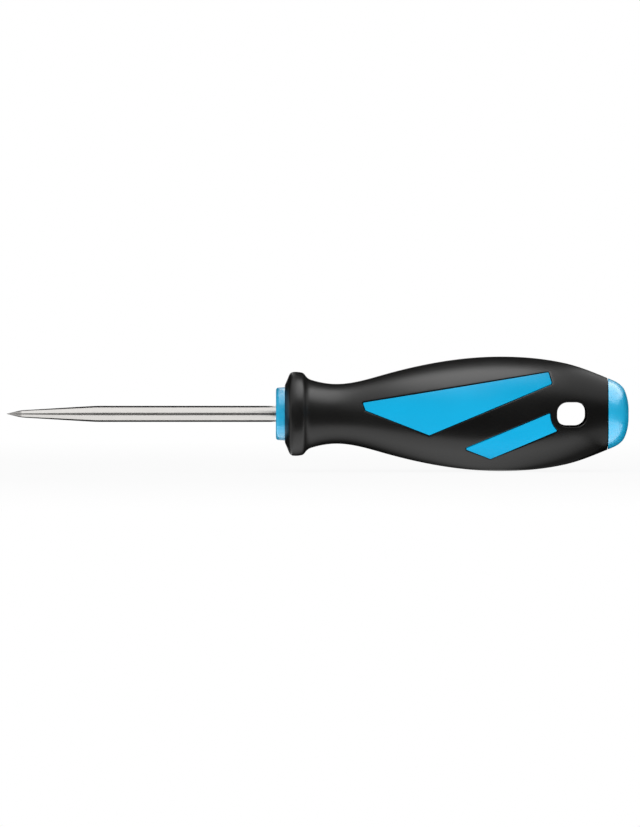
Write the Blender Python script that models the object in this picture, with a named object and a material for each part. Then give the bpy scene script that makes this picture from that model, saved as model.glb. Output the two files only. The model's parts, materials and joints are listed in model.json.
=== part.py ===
"""An awl: a round steel blade in a hard handle core with a soft overmoulded grip.

Run with blender --background --python part.py, or from Blender's text editor.
The scene is in metres, +Z up. The tool's axis is X, its point towards -X and its butt towards +X, and the
hanging hole runs along Y. The origin is on the axis, halfway between the point and the butt.
The sizes below are in millimetres. A place "along" the tool is measured from the front face of the handle's
collar towards the butt, and an empty at that face carries every piece.
"""

import math

import bmesh
import bpy
from mathutils import Matrix, Vector
from mathutils.geometry import interpolate_bezier

MM = 0.001

# Blade
BLADE_LENGTH = 80.0
SHANK_DIAMETER = 4.8
POINT_LENGTH = 4.3
POINT_DIAMETER = 2.15
TAPER_LENGTH = 22.1
TANG_LENGTH = 62.0
TANG_CHAMFER = 0.8
WING_FRONT = 30.0
WING_LENGTH = 9.0
WING_RUN_OUT = 2.5
WING_STAND_OUT = 1.6
WING_THICKNESS = 1.8
WING_ROOT = 0.6

# Handle from front to rear: the length of each stretch, and the diameter where it ends
COLLAR_FRONT_DIAMETER = 15.6
COLLAR_LENGTH = 2.6
COLLAR_DIAMETER = 15.9
COLLAR_EDGE = 0.6
LIP_WIDTH = 0.2
RING_FACE_LENGTH = 1.3
RING_FACE_DIAMETER = 23.0
RING_CORNER_LENGTH = 1.3
RING_DIAMETER = 24.9
RING_CROWN_LENGTH = 3.1
RING_BACK_DIAMETER = 24.2
FLANK_LENGTH = 2.5
FLANK_DIAMETER = 20.0
NECK_LENGTH = 7.2
NECK_DIAMETER = 17.74
SWELL_LENGTH = 14.5
SWELL_DIAMETER = 23.56
FRONT_BELLY_LENGTH = 34.3
BELLY_DIAMETER = 34.0
REAR_BELLY_LENGTH = 19.1
TAIL_DIAMETER = 30.12
TAIL_LENGTH = 12.5
REAR_DIAMETER = 21.34

# Slope of the outline where those stretches meet, as radius gained per length
CROWN_START_SLOPE = 0.1
CROWN_END_SLOPE = -0.3
FLANK_START_SLOPE = -1.87
FLANK_END_SLOPE = -0.3
SWELL_SLOPE = 0.28
TAIL_SLOPE = -0.225
REAR_SLOPE = -0.42

# Butt cap
CAP_FLANK_LENGTH = 4.3
CAP_SHOULDER_DIAMETER = 15.9
CAP_SHOULDER_SLOPE = -1.1
CAP_DOME_LENGTH = 2.0
BUTT_FLAT_DIAMETER = 3.6
SPIGOT_DIAMETER = 9.0
SPIGOT_LENGTH = 2.2
SPIGOT_CHAMFER = 0.4

# Walls and the clearance between pieces
GRIP_WALL = 2.2
SLEEVE_WALL = 1.2
GAP = 0.3

# Hanging hole
HOLE_LENGTH = 9.2
HOLE_HEIGHT = 8.0
HOLE_CORNER = 3.4
HOLE_RIM = 0.9
HOLE_REAR_WALL = 6.2

# Inlay panels: two edges that open rearwards from a blunt nose, crossed by a slanting band of grip
NOSE_BEHIND_NECK = 8.0
NOSE_RAKE = 0.9
NOSE_TOP = 3.6
NOSE_BOTTOM = 1.35
TOP_EDGE_TO_BELLY = 4.3
BOTTOM_EDGE_TO_BELLY = 4.1
BAND_ANGLE = math.radians(23.0)
BAND_WIDTH = 7.7
BAND_ABOVE_HOLE = 7.2
LOWER_PANEL_WIDTH = 5.9
PANEL_END_BEFORE_HOLE = 2.0
PANEL_HOLE_WALL = 2.1
PANEL_CORNER = 0.35

# Facets of the round forms
HANDLE_SIDES = 40
BLADE_SIDES = 24
SMOOTH_ANGLE = math.radians(32.0)
WELD = 1e-7

# Places along the tool that follow from the sizes
RING_FRONT = COLLAR_LENGTH
FACE_END = RING_FRONT + RING_FACE_LENGTH
CROWN_START = FACE_END + RING_CORNER_LENGTH
CROWN_END = CROWN_START + RING_CROWN_LENGTH
FLANK_END = CROWN_END + FLANK_LENGTH
NECK_AT = FLANK_END + NECK_LENGTH
SWELL_AT = NECK_AT + SWELL_LENGTH
BELLY_AT = SWELL_AT + FRONT_BELLY_LENGTH
TAIL_AT = BELLY_AT + REAR_BELLY_LENGTH
REAR_AT = TAIL_AT + TAIL_LENGTH
CAP_FRONT = REAR_AT + GAP
SHOULDER_AT = CAP_FRONT + CAP_FLANK_LENGTH
BUTT_AT = SHOULDER_AT + CAP_DOME_LENGTH
HOLE_AT = REAR_AT - HOLE_REAR_WALL - HOLE_LENGTH / 2
BED_STEP_AT = RING_FRONT + GRIP_WALL
ORIGIN_AT = (BUTT_AT - BLADE_LENGTH) / 2
PAST_SIDES = BELLY_DIAMETER

# Name, sRGB colour, metallic value and roughness of each finish
STEEL = ("steel", (0.78, 0.77, 0.75), 1.0, 0.25)
GLOSS_BLUE = ("gloss_blue", (0.04, 0.63, 0.82), 0.0, 0.25)
MATTE_BLUE = ("matte_blue", (0.02, 0.68, 0.89), 0.0, 0.45)
SOFT_BLACK = ("soft_black", (0.09, 0.09, 0.09), 0.0, 0.6)


def clear_scene():
    for obj in list(bpy.data.objects):
        bpy.data.objects.remove(obj, do_unlink=True)


def linear(value):
    """An sRGB value as the linear one that a shader takes."""
    return value / 12.92 if value <= 0.04045 else ((value + 0.055) / 1.055) ** 2.4


def material(finish):
    name, colour, metallic, roughness = finish
    made = bpy.data.materials.get(name) or bpy.data.materials.new(name)
    made.use_nodes = True
    shader = made.node_tree.nodes["Principled BSDF"]
    shader.inputs["Base Color"].default_value = (*map(linear, colour), 1.0)
    shader.inputs["Metallic"].default_value = metallic
    shader.inputs["Roughness"].default_value = roughness
    return made


def add_frame():
    """The empty on the collar's front face, which carries every piece and cutter."""
    frame = bpy.data.objects.new("collar_face", None)
    frame.location.x = -ORIGIN_AT * MM
    bpy.context.scene.collection.objects.link(frame)


def add_object(name, shape):
    mesh = bpy.data.meshes.new(name)
    shape.to_mesh(mesh)
    shape.free()
    obj = bpy.data.objects.new(name, mesh)
    obj.parent = bpy.data.objects["collar_face"]
    bpy.context.scene.collection.objects.link(obj)
    return obj


def add_piece(name, shape, finish):
    piece = add_object(name, shape)
    piece.data.materials.append(material(finish))
    piece.data.shade_smooth()
    piece.data.set_sharp_from_angle(angle=SMOOTH_ANGLE)
    return piece


def add_guide(name, shape):
    """A cutter or an envelope, which isn't part of the tool."""
    guide = add_object(name, shape)
    guide.hide_render = True
    guide.display_type = "WIRE"
    return guide


def combine(obj, operation, *others):
    """Adds to obj one exact Boolean with each of the others."""
    for other in others:
        modifier = obj.modifiers.new(other.name, "BOOLEAN")
        modifier.object = other
        modifier.operation = operation
        modifier.solver = "EXACT"


def revolve(outline, sides, hollow=False):
    """A solid turned round X from (along, radius) points.

    The points of a full one start and end on the axis. Those of a hollow one go once round its wall.
    A facet, not an edge, faces down, for the handle to lie on.
    """
    shape = bmesh.new()
    chain = [shape.verts.new((along * MM, 0.0, radius * MM)) for along, radius in outline]
    pairs = zip(chain, chain[1:] + chain[:1]) if hollow else zip(chain, chain[1:])
    edges = [shape.edges.new(pair) for pair in pairs]
    bmesh.ops.spin(
        shape,
        geom=chain + edges,
        cent=(0.0, 0.0, 0.0),
        axis=(1.0, 0.0, 0.0),
        angle=math.tau,
        steps=sides,
        use_merge=True,
    )
    bmesh.ops.remove_doubles(shape, verts=shape.verts, dist=WELD)
    bmesh.ops.recalc_face_normals(shape, faces=shape.faces)
    bmesh.ops.rotate(shape, verts=shape.verts, matrix=Matrix.Rotation(math.pi / sides, 3, "X"))
    return shape


def loft(rings):
    """A closed solid through rings with as many points each, its two end rings filled."""
    shape = bmesh.new()
    loops = [[shape.verts.new(Vector(point) * MM) for point in ring] for ring in rings]
    for near, far in zip(loops, loops[1:]):
        for index, vertex in enumerate(near):
            shape.faces.new((near[index - 1], vertex, far[index], far[index - 1]))
    shape.faces.new(loops[0])
    shape.faces.new(loops[-1])
    bmesh.ops.recalc_face_normals(shape, faces=shape.faces)
    if shape.calc_volume(signed=True) < 0:
        bmesh.ops.reverse_faces(shape, faces=shape.faces)
    return shape


def prism(outline, start, end):
    """A solid with this (along, height) outline that runs along Y from start to end."""
    return loft([[(along, depth, height) for along, height in outline] for depth in (start, end)])


def smooth_run(start, start_slope, end, end_slope, steps):
    """Points of an outline after start, up to end, that has these slopes at its two ends."""
    third = (end[0] - start[0]) / 3
    leave = (start[0] + third, start[1] + third * start_slope)
    arrive = (end[0] - third, end[1] - third * end_slope)
    return curved_run(start, leave, arrive, end, steps)


def curved_run(start, leave, arrive, end, steps):
    """Points after start, up to end, on the Bezier curve with these two handles."""
    curve = interpolate_bezier(*map(Vector, (start, leave, arrive, end)), steps + 1)
    return [(point.x, point.y) for point in curve[1:]]


def rounded_step(start, corner, end, steps):
    """Points after start, up to end, on a curve that rounds off the corner between them."""
    bend = 0.6
    leave = Vector(start).lerp(Vector(corner), bend)
    arrive = Vector(end).lerp(Vector(corner), bend)
    return curved_run(start, leave, arrive, end, steps)


def grip_outline():
    """The grip's outside as (along, radius) points, from its lip round the collar to its rear edge."""
    lip = (RING_FRONT, COLLAR_DIAMETER / 2 + GAP + LIP_WIDTH)
    face_end = (FACE_END, RING_FACE_DIAMETER / 2)
    crown_start = (CROWN_START, RING_DIAMETER / 2)
    crown_end = (CROWN_END, RING_BACK_DIAMETER / 2)
    flank_end = (FLANK_END, FLANK_DIAMETER / 2)
    neck = (NECK_AT, NECK_DIAMETER / 2)
    swell = (SWELL_AT, SWELL_DIAMETER / 2)
    belly = (BELLY_AT, BELLY_DIAMETER / 2)
    tail = (TAIL_AT, TAIL_DIAMETER / 2)
    rear = (REAR_AT, REAR_DIAMETER / 2)
    face_slope = (face_end[1] - lip[1]) / RING_FACE_LENGTH
    corner = (FACE_END + (crown_start[1] - face_end[1]) / face_slope, crown_start[1])
    return [
        lip,
        face_end,
        *rounded_step(face_end, corner, crown_start, 3),
        *smooth_run(crown_start, CROWN_START_SLOPE, crown_end, CROWN_END_SLOPE, 3),
        *smooth_run(crown_end, FLANK_START_SLOPE, flank_end, FLANK_END_SLOPE, 3),
        *smooth_run(flank_end, FLANK_END_SLOPE, neck, 0.0, 3),
        *smooth_run(neck, 0.0, swell, SWELL_SLOPE, 5),
        *smooth_run(swell, SWELL_SLOPE, belly, 0.0, 6),
        *smooth_run(belly, 0.0, tail, TAIL_SLOPE, 4),
        *smooth_run(tail, TAIL_SLOPE, rear, REAR_SLOPE, 4),
    ]


def radius_at(along):
    """The grip's outer radius at this place."""
    outline = grip_outline()
    for (start, start_radius), (end, end_radius) in zip(outline, outline[1:]):
        if start <= along <= end:
            share = (along - start) / (end - start)
            return start_radius + share * (end_radius - start_radius)
    return outline[-1][1]


def bed_outline(inset):
    """The bed under the grip, this far inside the grip's inner face, from the step behind the collar."""
    step = BED_STEP_AT + inset
    outer = [(step, radius_at(step))] + [point for point in grip_outline() if point[0] > step + GAP]
    return [(along, radius - GRIP_WALL - inset) for along, radius in outer]


def arc(centre, radius, start, end, steps):
    angles = [start + (end - start) * step / steps for step in range(steps + 1)]
    return [(centre[0] + radius * math.cos(a), centre[1] + radius * math.sin(a)) for a in angles]


def rounded_corner(before, corner, after, radius):
    """The short arc that rounds off a corner of an anticlockwise outline."""
    back = (before - corner).normalized()
    ahead = (after - corner).normalized()
    half = back.angle(ahead) / 2
    centre = corner + (back + ahead).normalized() * (radius / math.sin(half))
    touch = corner + back * (radius / math.tan(half)) - centre
    start = math.atan2(touch.y, touch.x)
    return arc(centre, radius, start, start + math.pi - 2 * half, 2)


def grown(outline, distance):
    """An anticlockwise outline with each side moved outwards by the distance."""
    points = [Vector(point) for point in outline]
    result = []
    for before, point, after in zip([points[-1]] + points, points, points[1:] + [points[0]]):
        side = (point - before).normalized()
        next_side = (after - point).normalized()
        normals = Vector((side.y + next_side.y, -side.x - next_side.x))
        result.append(tuple(point + normals * (2 * distance / normals.length_squared)))
    return result


def line_cross(first, second):
    """Where two lines cross, each given as a point on it and its direction."""
    (start, way), (other_start, other_way) = first, second
    return start + way * ((other_start - start).cross(other_way) / way.cross(other_way))


def circle_cross(line, centre, radius):
    """Where a line, given as a point on it and its unit direction, first meets a circle."""
    start, way = line
    middle = (centre - start).dot(way)
    miss = (start + way * middle - centre).length
    return start + way * (middle - math.sqrt(radius**2 - miss**2))


def panel_outlines():
    """The upper and the lower panel as (along, height) outlines, seen from the near side."""
    hole = Vector((HOLE_AT, 0.0))
    level = Vector((1.0, 0.0))
    slant = Vector((math.cos(BAND_ANGLE), math.sin(BAND_ANGLE)))
    across = Vector((-slant.y, slant.x))
    band_top = (hole + across * (BAND_ABOVE_HOLE + BAND_WIDTH / 2), slant)
    band_bottom = (hole + across * (BAND_ABOVE_HOLE - BAND_WIDTH / 2), slant)
    lower_rear_edge = (band_bottom[0] - across * LOWER_PANEL_WIDTH, slant)
    square_end = (hole - slant * PANEL_END_BEFORE_HOLE, across)
    ceiling = (Vector((0.0, BELLY_DIAMETER / 2 - TOP_EDGE_TO_BELLY)), level)
    floor = (Vector((0.0, BOTTOM_EDGE_TO_BELLY - BELLY_DIAMETER / 2)), level)

    nose = NECK_AT + NOSE_BEHIND_NECK
    nose_top = Vector((nose, NOSE_TOP))
    nose_bottom = Vector((nose + NOSE_RAKE, NOSE_BOTTOM))
    top_corner = line_cross(ceiling, square_end)
    bottom_corner = line_cross(floor, lower_rear_edge)
    bottom_edge = (nose_bottom, bottom_corner - nose_bottom)

    corners = [
        nose_bottom,
        line_cross(bottom_edge, band_top),
        line_cross(square_end, band_top),
        top_corner,
        nose_top,
    ]
    upper = []
    for before, corner, after in zip([corners[-1]] + corners, corners, corners[1:] + [corners[0]]):
        upper += rounded_corner(before, corner, after, PANEL_CORNER)

    bend = HOLE_LENGTH / 2 + PANEL_HOLE_WALL
    front_corner = line_cross(bottom_edge, band_bottom)
    bend_start = circle_cross(lower_rear_edge, hole, bend)
    bend_end = circle_cross(band_bottom, hole, bend)
    start, end = (math.atan2(p.y, p.x) % math.tau for p in (bend_start - hole, bend_end - hole))
    lower = [
        *rounded_corner(bend_end, front_corner, bottom_corner, PANEL_CORNER),
        *rounded_corner(front_corner, bottom_corner, bend_start, PANEL_CORNER),
        *arc(hole, bend, start, end, 5),
    ]
    return upper, lower


def hole_outline(offset):
    """The hanging hole's rounded rectangle, its wall moved outwards by the offset."""
    corner = min(HOLE_CORNER, HOLE_LENGTH / 2 - GAP, HOLE_HEIGHT / 2 - GAP)
    outline = []
    for quarter, (side, level) in enumerate(((1, 1), (-1, 1), (-1, -1), (1, -1))):
        centre = (HOLE_AT + side * (HOLE_LENGTH / 2 - corner), level * (HOLE_HEIGHT / 2 - corner))
        start = quarter * math.pi / 2
        outline += arc(centre, corner + offset, start, start + math.pi / 2, 4)
    return outline


def hole_ring(offset, lift, side):
    """The hole's outline grown by the offset and laid this far above the grip's surface on one side."""
    ring = []
    for along, height in hole_outline(offset):
        depth = math.sqrt(radius_at(along) ** 2 - height**2)
        ring.append((along, side * (depth + lift), height))
    return ring


def flared_hole():
    """The hanging hole with a rounded rim on each side, which leaves the grip's surface at a slant."""
    turns = [math.radians(angle) for angle in (0.0, 30.0, 60.0)]
    rim = [(HOLE_RIM * (1 - math.cos(turn)), HOLE_RIM * (math.sin(turn) - 1)) for turn in turns]
    offset, lift = rim[-1]
    offset += HOLE_RIM * math.sin(turns[-1])
    rim.append((offset, lift + HOLE_RIM * math.cos(turns[-1])))
    sides = []
    for side in (-1, 1):
        end = [(along, side * PAST_SIDES, height) for along, height in hole_outline(offset)]
        sides.append([hole_ring(*place, side) for place in rim] + [end])
    near, far = sides
    return loft(near[::-1] + far)


def tang_outline(clearance):
    """The rear end of the tang, grown by the clearance."""
    radius = SHANK_DIAMETER / 2 + clearance
    end = TANG_LENGTH + clearance
    return [(end - TANG_CHAMFER, radius), (end, radius - TANG_CHAMFER), (end, 0.0)]


def tang_wings(clearance):
    """The flat block that makes the tang's two wings, grown by the clearance."""
    shank = SHANK_DIAMETER / 2 + clearance
    thickness = WING_THICKNESS / 2 + clearance
    front = WING_FRONT - clearance
    rear = WING_FRONT + WING_LENGTH + clearance
    stations = [
        (front, shank - WING_ROOT),
        (front + WING_RUN_OUT, shank + WING_STAND_OUT),
        (rear - WING_RUN_OUT, shank + WING_STAND_OUT),
        (rear, shank - WING_ROOT),
    ]
    rings = []
    for along, reach in stations:
        corners = ((-reach, -thickness), (reach, -thickness), (reach, thickness), (-reach, thickness))
        rings.append([(along, depth, height) for depth, height in corners])
    return loft(rings)


def make_blade():
    shank = SHANK_DIAMETER / 2
    outline = [
        (-BLADE_LENGTH, 0.0),
        (POINT_LENGTH - BLADE_LENGTH, POINT_DIAMETER / 2),
        (POINT_LENGTH + TAPER_LENGTH - BLADE_LENGTH, shank),
        *tang_outline(0.0),
    ]
    blade = add_piece("blade", revolve(outline, BLADE_SIDES), STEEL)
    combine(blade, "UNION", add_guide("wing_block", tang_wings(0.0)))


def make_grip(upper, lower):
    """The soft grip with its windows, hanging hole and sleeve, and the inlays in the windows."""
    bore = COLLAR_DIAMETER / 2 + GAP
    wall = [(RING_FRONT, bore), *grip_outline(), *reversed(bed_outline(0.0)), (BED_STEP_AT, bore)]
    middle = bed_outline(-GRIP_WALL / 2)
    middle = [(middle[0][0], 0.0), *middle, (REAR_AT, 0.0)]
    sleeve = add_guide("hole_sleeve", prism(hole_outline(SLEEVE_WALL), -PAST_SIDES, PAST_SIDES))
    combine(sleeve, "INTERSECT", add_guide("middle_of_wall", revolve(middle, HANDLE_SIDES)))
    grip = add_piece("soft_grip", revolve(wall, HANDLE_SIDES, hollow=True), SOFT_BLACK)
    combine(grip, "UNION", sleeve)
    combine(grip, "DIFFERENCE", add_guide("hanging_hole", flared_hole()))

    whole_wall = add_guide("whole_wall", revolve(wall, HANDLE_SIDES, hollow=True))
    half_turn = Matrix.Rotation(math.pi, 3, "X")
    for level, outline in (("upper", upper), ("lower", lower)):
        for side in ("near", "far"):
            window = prism(grown(outline, GAP), -PAST_SIDES, -GAP)
            panel = prism(outline, -PAST_SIDES, -GAP)
            if side == "far":
                bmesh.ops.rotate(window, verts=window.verts, matrix=half_turn)
                bmesh.ops.rotate(panel, verts=panel.verts, matrix=half_turn)
            combine(grip, "DIFFERENCE", add_guide(f"window_{level}_{side}", window))
            combine(add_piece(f"inlay_{level}_{side}", panel, MATTE_BLUE), "INTERSECT", whole_wall)


def make_core():
    """The hard core: the collar, the bed under the grip, and the sockets for tang, sleeve and spigot."""
    front = COLLAR_FRONT_DIAMETER / 2
    collar = COLLAR_DIAMETER / 2
    edge_start = (0.0, front - COLLAR_EDGE)
    edge_end = (COLLAR_EDGE, front + (collar - front) * COLLAR_EDGE / COLLAR_LENGTH)
    spigot = SPIGOT_DIAMETER / 2 + GAP
    spigot_bottom = REAR_AT - SPIGOT_LENGTH
    outline = [
        *reversed(tang_outline(GAP)),
        (0.0, SHANK_DIAMETER / 2 + GAP),
        edge_start,
        *rounded_step(edge_start, (0.0, front), edge_end, 3),
        (COLLAR_LENGTH, collar),
        (BED_STEP_AT + GAP, collar),
        *bed_outline(GAP),
        (REAR_AT, spigot),
        (spigot_bottom, spigot),
        (spigot_bottom, 0.0),
    ]
    core = add_piece("handle_core", revolve(outline, HANDLE_SIDES), GLOSS_BLUE)
    wing_socket = add_guide("wing_socket", tang_wings(GAP))
    core_hole = prism(hole_outline(SLEEVE_WALL + GAP), -PAST_SIDES, PAST_SIDES)
    combine(core, "DIFFERENCE", wing_socket, add_guide("core_hole", core_hole))


def make_cap():
    """The butt cap: a spigot, a flank that carries on the grip's outline, and a shallow dome."""
    spigot_end = CAP_FRONT - SPIGOT_LENGTH
    spigot = SPIGOT_DIAMETER / 2
    edge = (CAP_FRONT, REAR_DIAMETER / 2 + REAR_SLOPE * GAP)
    shoulder = (SHOULDER_AT, CAP_SHOULDER_DIAMETER / 2)
    flat = (BUTT_AT, BUTT_FLAT_DIAMETER / 2)
    leave = (SHOULDER_AT + CAP_DOME_LENGTH / 2, shoulder[1] + CAP_SHOULDER_SLOPE * CAP_DOME_LENGTH / 2)
    arrive = (BUTT_AT, flat[1] + (shoulder[1] - flat[1]) / 3)
    outline = [
        (spigot_end, 0.0),
        (spigot_end, spigot - SPIGOT_CHAMFER),
        (spigot_end + SPIGOT_CHAMFER, spigot),
        (CAP_FRONT, spigot),
        edge,
        *smooth_run(edge, REAR_SLOPE, shoulder, CAP_SHOULDER_SLOPE, 4),
        *curved_run(shoulder, leave, arrive, flat, 6),
        (BUTT_AT, 0.0),
    ]
    add_piece("butt_cap", revolve(outline, HANDLE_SIDES), GLOSS_BLUE)


clear_scene()
add_frame()
make_blade()
make_grip(*panel_outlines())
make_core()
make_cap()
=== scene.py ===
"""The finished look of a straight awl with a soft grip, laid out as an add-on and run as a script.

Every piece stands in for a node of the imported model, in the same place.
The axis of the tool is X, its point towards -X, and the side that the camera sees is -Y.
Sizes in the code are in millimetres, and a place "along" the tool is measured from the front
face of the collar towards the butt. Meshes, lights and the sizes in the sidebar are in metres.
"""

import json
import math
from functools import partial

import bmesh
import bpy
import numpy as np
from bpy.props import FloatProperty, FloatVectorProperty, IntProperty, PointerProperty
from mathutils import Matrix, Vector, kdtree
from mathutils.geometry import delaunay_2d_cdt, interpolate_bezier

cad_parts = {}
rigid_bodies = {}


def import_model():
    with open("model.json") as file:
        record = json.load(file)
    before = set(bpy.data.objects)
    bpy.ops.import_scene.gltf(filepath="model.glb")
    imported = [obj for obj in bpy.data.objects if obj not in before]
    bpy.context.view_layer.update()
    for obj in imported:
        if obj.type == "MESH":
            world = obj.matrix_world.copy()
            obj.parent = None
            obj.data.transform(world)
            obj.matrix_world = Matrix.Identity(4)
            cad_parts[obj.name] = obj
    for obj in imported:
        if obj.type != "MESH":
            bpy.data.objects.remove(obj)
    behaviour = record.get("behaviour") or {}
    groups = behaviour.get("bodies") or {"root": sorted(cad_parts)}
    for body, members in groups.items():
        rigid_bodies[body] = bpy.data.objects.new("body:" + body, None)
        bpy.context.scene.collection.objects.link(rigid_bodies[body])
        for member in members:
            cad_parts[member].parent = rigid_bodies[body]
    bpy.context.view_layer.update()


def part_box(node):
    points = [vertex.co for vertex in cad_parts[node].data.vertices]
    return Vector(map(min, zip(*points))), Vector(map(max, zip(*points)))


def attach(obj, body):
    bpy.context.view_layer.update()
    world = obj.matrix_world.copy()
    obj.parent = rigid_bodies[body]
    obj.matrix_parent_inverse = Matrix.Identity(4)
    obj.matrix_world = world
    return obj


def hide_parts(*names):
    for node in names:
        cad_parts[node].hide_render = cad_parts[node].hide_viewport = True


bl_info = {
    "name": "Soft-grip awl",
    "version": (1, 0, 0),
    "blender": (4, 5, 0),
    "location": "3D View > Sidebar > Awl",
    "description": "Makes the finished pieces of a soft-grip awl round its packed model",
    "category": "Object",
}

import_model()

MM = 0.001
BODY = "root"
BLACK = (0.0, 0.0, 0.0)
WHITE = (1.0, 1.0, 1.0, 1.0)

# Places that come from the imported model, with the grip's lip and the butt's end just inside it
LIP_INSET = 0.05
BUTT_INSET = 0.25
COLLAR_FACE_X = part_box("handle_core")[0].x
BLADE_LENGTH = (COLLAR_FACE_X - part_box("blade")[0].x) / MM
TANG_LENGTH = (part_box("blade")[1].x - COLLAR_FACE_X) / MM
GRIP_FRONT = (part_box("soft_grip")[0].x - COLLAR_FACE_X) / MM + LIP_INSET
GRIP_REAR = (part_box("soft_grip")[1].x - COLLAR_FACE_X) / MM
BUTT = (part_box("butt_cap")[1].x - COLLAR_FACE_X) / MM - BUTT_INSET

# Blade: the tip's rounding, the reach of the soft corners, the end of the finely divided shank,
# and the bevel of the tang's end
TIP_RADIUS = 0.05
TIP_TURNS = (0.0, 0.45, 0.9, 1.25)
POINT_SOFTENING = 0.35
TAPER_SOFTENING = 0.8
SHANK_FINE_END = -0.5
TANG_BEVEL = 0.8

# Guard ring: its front face, rounded front corner and crown
FACE_LENGTH = 1.25
FACE_DIAMETER = 23.0
CORNER_LENGTH = 1.3
CROWN_LENGTH = 3.1
CROWN_END_DIAMETER = 24.2
CROWN_START_SLOPE = 0.1
CROWN_END_SLOPE = -0.3
CROWN_EDGE = 0.45

# Handle behind the ring: each stretch's length, and the diameter and the slope where two meet
FLANK_LENGTH = 2.5
FLANK_DIAMETER = 20.0
NECK_LENGTH = 7.2
SWELL_LENGTH = 14.5
SWELL_DIAMETER = 23.56
FRONT_BELLY_LENGTH = 34.3
REAR_BELLY_LENGTH = 19.1
TAIL_DIAMETER = 30.12
REAR_DIAMETER = 21.34
FLANK_START_SLOPE = -1.87
FLANK_END_SLOPE = -0.3
SWELL_SLOPE = 0.28
TAIL_SLOPE = -0.225
REAR_SLOPE = -0.42

# Butt cap and the hard core under the grip. The cap's rounded front edge takes up CAP_RIM_REACH
# times its radius, and the flank's points begin behind that.
CAP_FLANK_START = 0.3
CAP_FLANK_LENGTH = 4.3
CAP_SHOULDER_DIAMETER = 15.9
CAP_SHOULDER_SLOPE = -1.1
CAP_RIM_REACH = 1.5
BUTT_FLAT_DIAMETER = 3.6
SPIGOT_DIAMETER = 9.0
SPIGOT_LENGTH = 2.2
SPIGOT_BEVEL = 0.4
GRIP_WALL = 2.2
BED_STEP = 2.15
COLLAR_EDGE = 0.9
COLLAR_DRAFT = 0.12
BORE_RIM = 0.15

# Hanging hole
HOLE_LENGTH = 8.8
HOLE_HEIGHT = 7.5
HOLE_CORNER = 3.2
HOLE_REAR_WALL = 6.2
HOLE_LINING = 1.0

# Inlay panels: two edges that open rearwards from a blunt nose, crossed by a slanting band of
# grip. Their heights at top and bottom are counted from the belly's outline.
NOSE_BEHIND_NECK = 7.62
NOSE_RAKE = 0.9
NOSE_TOP = 3.52
NOSE_BOTTOM = 1.1
TOP_EDGE_TO_BELLY = 4.38
BOTTOM_EDGE_TO_BELLY = 3.65
BAND_ANGLE = math.radians(23.0)
BAND_WIDTH = 7.7
BAND_ABOVE_HOLE = 6.92
LOWER_PANEL_WIDTH = 5.9
PANEL_END_BEFORE_HOLE = 3.2
PANEL_END_TILT = math.radians(16.0)
PANEL_HOLE_WALL = 2.1
PANEL_CORNERS = (0.45, 0.36)

# How finely each stretch of an outline is divided, from the point towards the butt
BLADE_SIDES = 96
BLADE_STEPS = (14, 30, 40)
CORE_SIDES = 128
BED_POINTS = 60
RING_STEPS = (8, 7, 12)
HANDLE_STEPS = (12, 11, 19, 44, 25, 17)
CAP_STEPS = (22, 24)
COLLAR_EDGE_STEPS = 8
CROWN_EDGE_STEPS = 6
SMALL_STEPS = 4
HOLE_CORNER_STEPS = 14
PANEL_BEND_STEPS = 6

# How far the handles of a rounded step reach towards its corner
STEP_BEND = 0.6

# Fineness of the meshes. A radian of the skin laid out flat is the belly's diameter over SPREAD.
SKIN_STEP = 0.78
SKIN_CLEARANCE = SKIN_STEP * 0.45
EDGE_STEP = 0.34
CORNER_STEPS = 5
ROUND_STEPS = 5
SPREAD = 2.4
FLAT_WELD = 1e-7
SMOOTH_ANGLE = math.radians(35.0)
WELD = 2e-7

# Finishes: each pattern's cycles in a metre, its depth in metres, and the shades of the colour
# and the roughness that it varies between. A FADE is half the length over which one finish of the
# steel passes into the next, and most of a noise's values lie in NOISE_MIDDLE.
GRIP_CLOUDS = 45.0
GRIP_SHADES = (0.85, 1.15)
GRIP_ROUGHNESS = (0.35, 0.41)
PANEL_CLOUDS = 60.0
PANEL_SHADES = (0.97, 1.03)
PANEL_ROUGHNESS = (0.3, 0.36)
PANEL_GRAIN = 9000.0
PANEL_GRAIN_DEPTH = 0.004 * MM
HARD_WAVES = 260.0
HARD_SHADES = (0.96, 1.04)
HARD_ROUGHNESS = (0.26, 0.3)
HARD_WAVE_DEPTH = 0.01 * MM
STEEL_LINES = (60.0, 7000.0, 7000.0)
STEEL_RINGS = (9000.0, 350.0, 350.0)
STEEL_CLOUDS = 160.0
STEEL_CLOUD_SHARE = 0.35
STEEL_SHADES = (0.94, 1.05)
STEEL_ROUGHNESS = (0.14, 0.24)
STEEL_MARK_DEPTH = 0.0025 * MM
POINT_SHADES = (0.45, 0.62)
POINT_ROUGHNESS = 0.34
TAPER_FADE = 0.4 * MM
POINT_FADE = 0.3 * MM
NOISE_MIDDLE = (0.3, 0.7)

# Floor, in metres: its reach, where its white begins and is full, and how white it is there
FLOOR_COLOUR = (0.85, 0.85, 0.85)
FLOOR_REACH = 12.0
FLOOR_FADE = (0.15, 0.5)
FLOOR_WHITENESS = (0.9, 1.0)

# Camera, in metres, but for its sensor in millimetres
AIM_HEIGHT = 0.0001
CAMERA_SENSOR = 36.0
CAMERA_CLIP = 50.0

# Pieces that have highlights of their own
SOFT_PIECES = ("grip", "panel_upper_near", "panel_lower_near", "panel_upper_far", "panel_lower_far")
HARD_PIECES = ("collar_and_core", "butt")

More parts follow.
